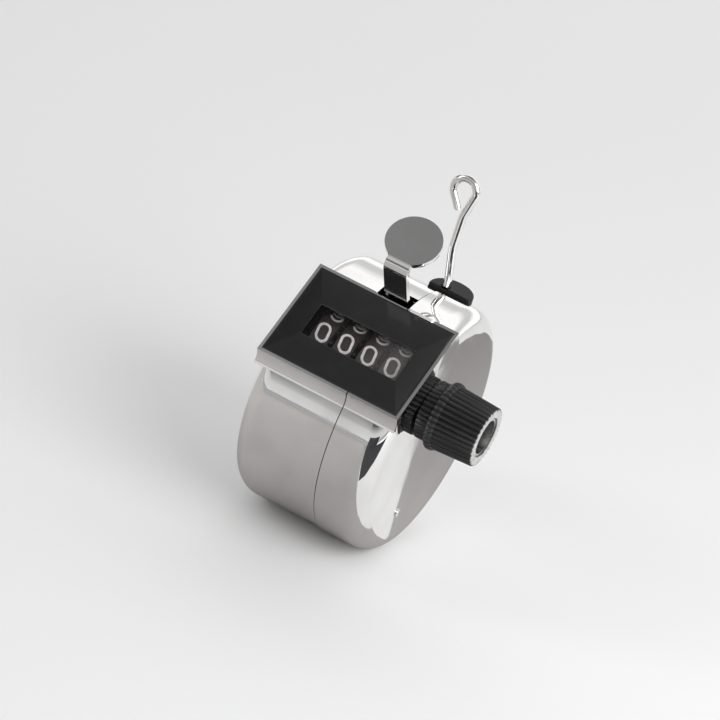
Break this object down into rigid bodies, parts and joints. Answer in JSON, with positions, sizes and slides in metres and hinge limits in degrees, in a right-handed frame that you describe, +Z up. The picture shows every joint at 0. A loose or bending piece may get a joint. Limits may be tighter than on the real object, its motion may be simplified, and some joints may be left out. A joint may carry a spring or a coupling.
{
  "type": "tally counter",
  "caption": "Hand tally counter: round chromed drum, leaning window over geared number wheels, sprung thumb lever, ribbed reset knob and a wire hanging loop.",
  "frame": {"origin": "centre of the round drum, halfway between its two side faces", "axes": "+X along the drum and the axle towards the reset knob, +Y to the rear away from the window, +Z up towards the wire loop"},
  "size_m": [0.0417, 0.05, 0.0716],
  "materials": {
    "chrome_shell": "bright plated pressed sheet",
    "lever_chrome": "bright plated",
    "gloss_black": "polished black moulding",
    "ribbed_black": "satin black moulding",
    "clear_pane": "clear plastic",
    "frame_steel": "plain stamped plate",
    "axle_steel": "turned bright",
    "spring_steel": "oiled spring steel",
    "brass": "plain",
    "wheel_black": "satin black with pale numbers"
  },
  "bodies": {
    "housing": {"left_shell": "chrome_shell", "right_cover": "chrome_shell", "window_bezel": "gloss_black", "window_pane": "clear_pane", "left_plate": "frame_steel", "right_plate": "frame_steel", "frame_pillars": "frame_steel", "side_rivets": "chrome_shell", "axle_bush": "brass", "pinion_shaft": "axle_steel", "lever_pin": "axle_steel", "return_spring": "spring_steel", "detent_spring": "spring_steel", "loop_lug": "ribbed_black"},
    "reset": {"wheel_axle": "axle_steel", "axle_clip": "spring_steel", "reset_knob": "ribbed_black"},
    "units": {"units_wheel": "wheel_black", "ratchet_wheel": "axle_steel"},
    "tens": {"tens_wheel": "wheel_black"},
    "hundreds": {"hundreds_wheel": "wheel_black"},
    "thousands": {"thousands_wheel": "wheel_black"},
    "tens_transfer": {"tens_pinion": "brass"},
    "hundreds_transfer": {"hundreds_pinion": "brass"},
    "thousands_transfer": {"thousands_pinion": "brass"},
    "lever": {"thumb_lever": "lever_chrome", "drive_pawl": "spring_steel"},
    "loop": {"wire_loop": "lever_chrome"}
  },
  "joints": [
    {"name": "lever_press", "type": "hinge", "parent": "housing", "child": "lever", "pos_m": [0, -0.01845, 0.00494], "axis": [-1, 0, 0], "range_deg": [0, 10.5], "stiffness_Nm_per_rad": 0.1, "springref_deg": -17.19, "deforming": ["return_spring"]},
    {"name": "knob_turn", "type": "hinge", "parent": "housing", "child": "reset", "pos_m": [0, -0.00845, 0.00928], "axis": [1, 0, 0], "continuous": true},
    {"name": "units_spin", "type": "hinge", "parent": "housing", "child": "units", "pos_m": [0, -0.00845, 0.00928], "axis": [-1, 0, 0], "continuous": true},
    {"name": "tens_spin", "type": "hinge", "parent": "housing", "child": "tens", "pos_m": [0, -0.00845, 0.00928], "axis": [-1, 0, 0], "continuous": true},
    {"name": "hundreds_spin", "type": "hinge", "parent": "housing", "child": "hundreds", "pos_m": [0, -0.00845, 0.00928], "axis": [-1, 0, 0], "continuous": true},
    {"name": "thousands_spin", "type": "hinge", "parent": "housing", "child": "thousands", "pos_m": [0, -0.00845, 0.00928], "axis": [-1, 0, 0], "continuous": true},
    {"name": "tens_pinion_spin", "type": "hinge", "parent": "housing", "child": "tens_transfer", "pos_m": [0, -0.00243, 0.00068], "axis": [-1, 0, 0], "continuous": true},
    {"name": "hundreds_pinion_spin", "type": "hinge", "parent": "housing", "child": "hundreds_transfer", "pos_m": [0, -0.00243, 0.00068], "axis": [-1, 0, 0], "continuous": true},
    {"name": "thousands_pinion_spin", "type": "hinge", "parent": "housing", "child": "thousands_transfer", "pos_m": [0, -0.00243, 0.00068], "axis": [-1, 0, 0], "continuous": true},
    {"name": "loop_swivel", "type": "hinge", "parent": "housing", "child": "loop", "pos_m": [0.0045, 0.0093, 0.02], "axis": [0, 0, 1], "continuous": true}
  ],
  "couplings": [
    {"joint": "tens_spin", "follows": "units_spin", "ratio": 0.1},
    {"joint": "hundreds_spin", "follows": "units_spin", "ratio": 0.01},
    {"joint": "thousands_spin", "follows": "units_spin", "ratio": 0.001},
    {"joint": "tens_pinion_spin", "follows": "units_spin", "ratio": -0.25},
    {"joint": "hundreds_pinion_spin", "follows": "units_spin", "ratio": -0.025},
    {"joint": "thousands_pinion_spin", "follows": "units_spin", "ratio": -0.0025}
  ]
}
